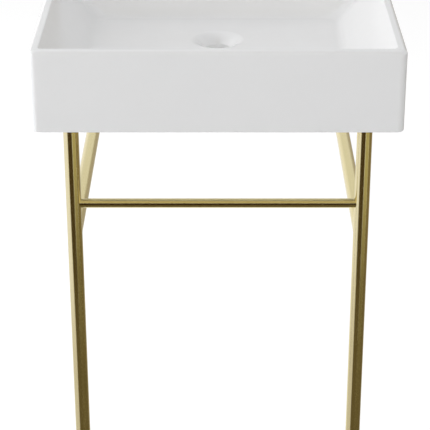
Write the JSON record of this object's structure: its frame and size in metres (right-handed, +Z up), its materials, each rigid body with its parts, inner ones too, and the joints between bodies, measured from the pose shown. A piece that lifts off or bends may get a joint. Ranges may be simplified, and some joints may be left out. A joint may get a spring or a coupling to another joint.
{
  "type": "console sink with legs",
  "caption": "Wall-fixed console wash basin: rectangular ceramic bowl with drain and tap holes, on a tube frame with front legs, towel bar, side rails and levelling feet.",
  "frame": {"origin": "on the floor, under the middle of the basin's outline", "axes": "+X to the right of someone at the sink, +Y back to the wall, +Z up"},
  "size_m": [0.6, 0.5, 0.88],
  "materials": {
    "glazed_ceramic": "gloss white glaze",
    "satin_brass": "satin brushed brass",
    "turned_brass": "plain turned brass",
    "zinc_steel": "bright zinc plate",
    "rubber": "matt black rubber",
    "glide_plastic": "fine matt plastic"
  },
  "bodies": {
    "console": {"bar_insert_left": "zinc_steel", "bar_insert_right": "zinc_steel", "bar_peg_left": "turned_brass", "bar_peg_right": "turned_brass", "bar_set_screw_left": "zinc_steel", "bar_set_screw_right": "zinc_steel", "basin": "glazed_ceramic", "basin_insert_left": "turned_brass", "basin_insert_right": "turned_brass", "foot_lock_ring_left": "turned_brass", "foot_lock_ring_right": "turned_brass", "leg_foot_plug_left": "turned_brass", "leg_foot_plug_right": "turned_brass", "leg_stud_left": "zinc_steel", "leg_stud_right": "zinc_steel", "leg_top_plug_left": "turned_brass", "leg_top_plug_right": "turned_brass", "leg_tube_left": "satin_brass", "leg_tube_right": "satin_brass", "rail_insert_left": "zinc_steel", "rail_insert_right": "zinc_steel", "rail_peg_left": "turned_brass", "rail_peg_right": "turned_brass", "rail_set_screw_left": "zinc_steel", "rail_set_screw_right": "zinc_steel", "seat_disc_left": "satin_brass", "seat_disc_right": "satin_brass", "seat_pad_left": "rubber", "seat_pad_right": "rubber", "side_rail_left": "satin_brass", "side_rail_right": "satin_brass", "towel_bar": "satin_brass", "wall_boss_left": "turned_brass", "wall_boss_right": "turned_brass", "wall_set_screw_left": "zinc_steel", "wall_set_screw_right": "zinc_steel"},
    "left_foot_glide": {"foot_glide_left": "glide_plastic", "foot_sole_left": "rubber"},
    "left_foot_screw": {"foot_screw_left": "turned_brass"},
    "right_foot_glide": {"foot_glide_right": "glide_plastic", "foot_sole_right": "rubber"},
    "right_foot_screw": {"foot_screw_right": "turned_brass"}
  },
  "joints": [
    {"name": "left_foot_height", "type": "slide", "parent": "console", "child": "left_foot_glide", "axis": [0, 0, 1], "range_m": [0, 0.012]},
    {"name": "left_foot_turn", "type": "hinge", "parent": "left_foot_glide", "child": "left_foot_screw", "pos_m": [-0.241, -0.2, 0.0104], "axis": [0, 0, 1], "range_deg": [0, 2885]},
    {"name": "right_foot_height", "type": "slide", "parent": "console", "child": "right_foot_glide", "axis": [0, 0, 1], "range_m": [0, 0.012]},
    {"name": "right_foot_turn", "type": "hinge", "parent": "right_foot_glide", "child": "right_foot_screw", "pos_m": [0.241, -0.2, 0.0104], "axis": [0, 0, 1], "range_deg": [0, 2885]}
  ],
  "couplings": [
    {"joint": "left_foot_turn", "follows": "left_foot_height", "rad_per_m": 4188.8},
    {"joint": "right_foot_turn", "follows": "right_foot_height", "rad_per_m": 4188.8}
  ]
}
